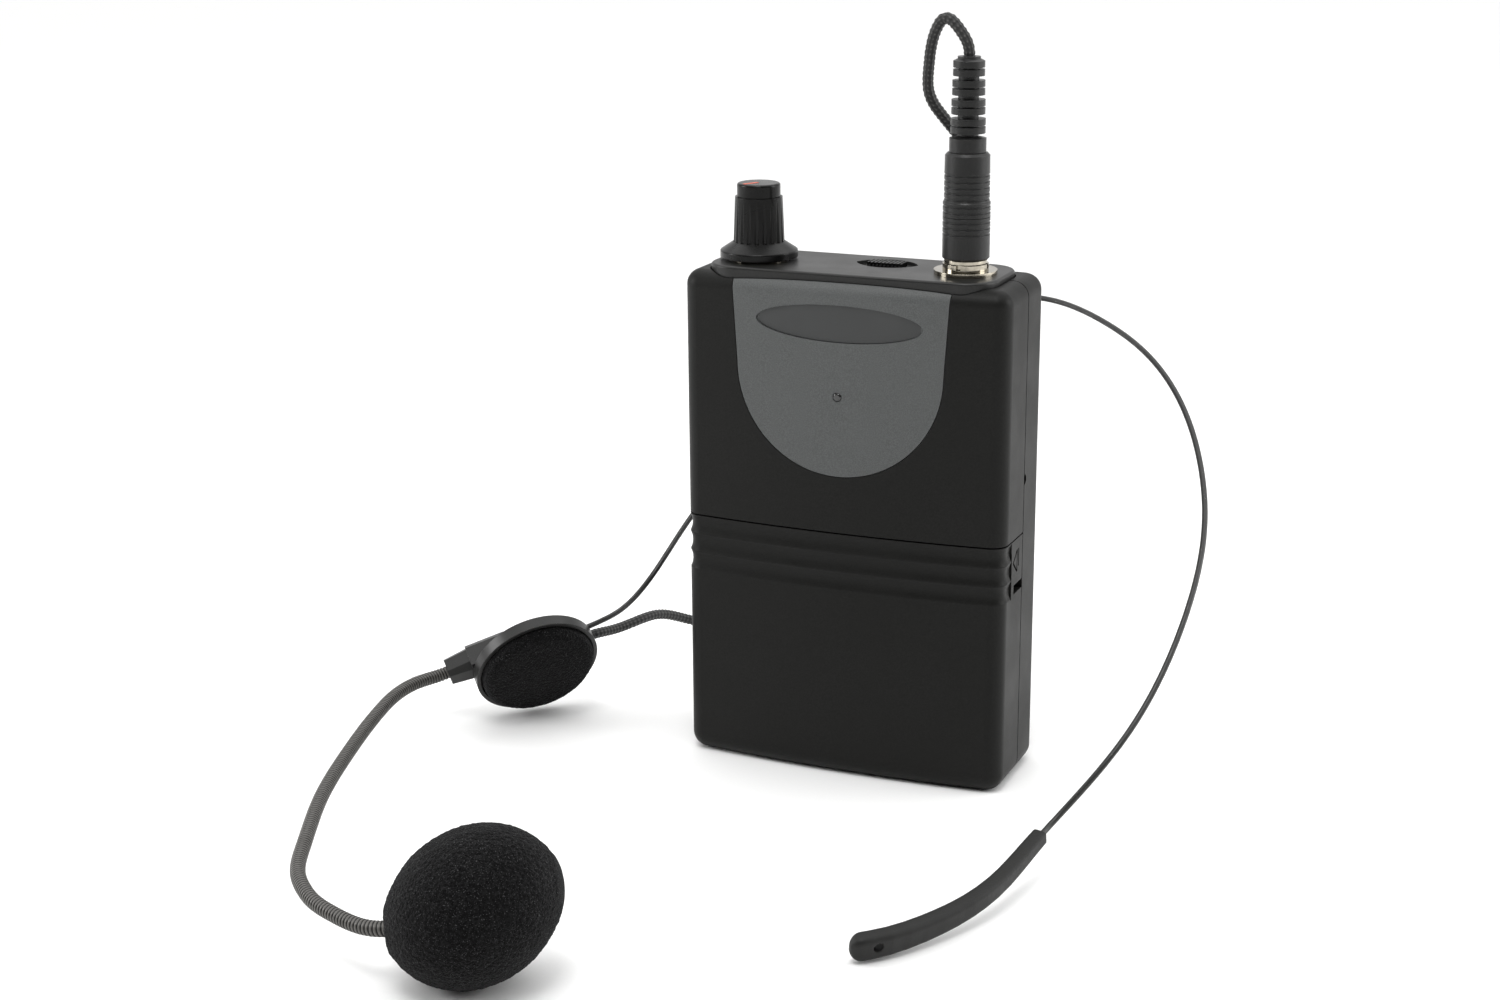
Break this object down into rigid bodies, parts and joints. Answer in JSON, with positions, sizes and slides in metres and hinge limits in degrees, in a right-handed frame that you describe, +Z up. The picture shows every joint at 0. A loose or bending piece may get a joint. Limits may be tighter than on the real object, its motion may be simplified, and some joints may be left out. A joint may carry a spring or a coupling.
{
  "type": "wireless headset microphone with bodypack transmitter",
  "caption": "Neckband headset microphone with foam windscreen and ear pad, cabled to a wireless bodypack transmitter with knob, slide switch and battery door.",
  "frame": {"origin": "middle of the bodypack's flat base, on the ground", "axes": "+X to the bodypack's right seen from its front, +Y to its back, +Z up"},
  "size_m": [0.1571, 0.1814, 0.1463],
  "materials": {
    "case_black": "fine spark texture",
    "panel_grey": "fine texture",
    "panel_black": "satin",
    "label_blank": "satin gloss",
    "lamp_lens": "clear smoked lens",
    "knob_black": "satin",
    "pointer_red": "painted",
    "nickel": "bright nickel plate",
    "machine_steel": "zinc plated",
    "component_black": "moulded",
    "board_green": "solder mask",
    "capacitor_can": "sleeved",
    "cell_jacket": "plain jacket",
    "plug_rubber": "moulded",
    "tip_rubber": "soft matt",
    "headset_plastic": "satin",
    "foam": "open-cell foam",
    "cable_braid": "braided sleeve",
    "wire_black": "black coated spring wire",
    "capsule_metal": "electret can"
  },
  "bodies": {
    "bodypack": {"front_shell": "case_black", "inlay_panel": "panel_grey", "label_plate": "label_blank", "status_lamp": "lamp_lens", "rear_shell": "case_black", "top_panel": "panel_black", "battery_tray": "component_black", "battery_cells": "cell_jacket", "battery_springs": "nickel", "battery_contacts": "nickel", "main_board": "board_green", "shield_can": "machine_steel", "board_chips": "component_black", "board_capacitors": "capacitor_can", "antenna_wire": "wire_black", "board_screws": "machine_steel", "case_screws": "machine_steel", "pot_body": "component_black", "pot_washer": "nickel", "pot_nut": "nickel", "switch_body": "component_black", "jack_socket": "component_black", "jack_washer": "nickel", "jack_ring_nut": "nickel", "belt_clip": "panel_black", "clip_screws": "machine_steel"},
    "door": {"battery_door": "case_black"},
    "knob": {"pot_shaft": "machine_steel", "knob_body": "knob_black", "knob_cap": "knob_black", "knob_pointer": "pointer_red"},
    "switch_slider": {"switch_thumb": "knob_black"},
    "plug": {"plug_pin": "nickel", "plug_insulators": "component_black", "plug_barrel": "plug_rubber", "plug_strain_relief": "plug_rubber"},
    "lock_ring": {"plug_lock_ring": "plug_rubber"},
    "headset": {"pad_cup": "headset_plastic", "pad_foam": "foam", "boom_holder": "headset_plastic", "boom_ferrule": "nickel", "headband_wire": "wire_black", "mic_cable": "cable_braid"},
    "temple": {"temple_tip": "tip_rubber"},
    "boom": {"gooseneck": "wire_black", "mic_housing": "headset_plastic", "mic_capsule": "capsule_metal"},
    "foam_screen": {"windscreen": "foam"}
  },
  "joints": [
    {"name": "door_pull", "type": "slide", "parent": "bodypack", "child": "door", "axis": [0, -1, 0], "range_m": [0, 0.022]},
    {"name": "knob_turn", "type": "hinge", "parent": "bodypack", "child": "knob", "pos_m": [-0.0208, -0.0008, 0.1], "axis": [0, 0, 1], "range_deg": [-300, 0]},
    {"name": "switch_slide", "type": "slide", "parent": "bodypack", "child": "switch_slider", "axis": [1, 0, 0], "range_m": [-0.0017, 0.0017]},
    {"name": "plug_pull", "type": "slide", "parent": "bodypack", "child": "plug", "axis": [0, 0, 1], "range_m": [0, 0.015]},
    {"name": "lock_ring_turn", "type": "hinge", "parent": "plug", "child": "lock_ring", "pos_m": [0.0208, -0.0008, 0.105], "axis": [0, 0, 1], "continuous": true},
    {"name": "headset_lift", "type": "slide", "parent": "plug", "child": "headset", "axis": [0, 0, 1], "range_m": [0, 0.03], "deforming": ["mic_cable"]},
    {"name": "band_flex", "type": "hinge", "parent": "headset", "child": "temple", "pos_m": [0.02878, 0.04796, 0.08315], "axis": [-0.1646, -0.6532, 0.7391], "range_deg": [-12, 30], "deforming": ["headband_wire"]},
    {"name": "boom_bend", "type": "hinge", "parent": "headset", "child": "boom", "pos_m": [-0.08525, -0.01739, 0.01052], "axis": [0, 0, 1], "range_deg": [-25, 25], "deforming": ["gooseneck"]},
    {"name": "windscreen_pull", "type": "slide", "parent": "boom", "child": "foam_screen", "axis": [0.8573, 0.4532, 0.2441], "range_m": [0, 0.022]}
  ]
}
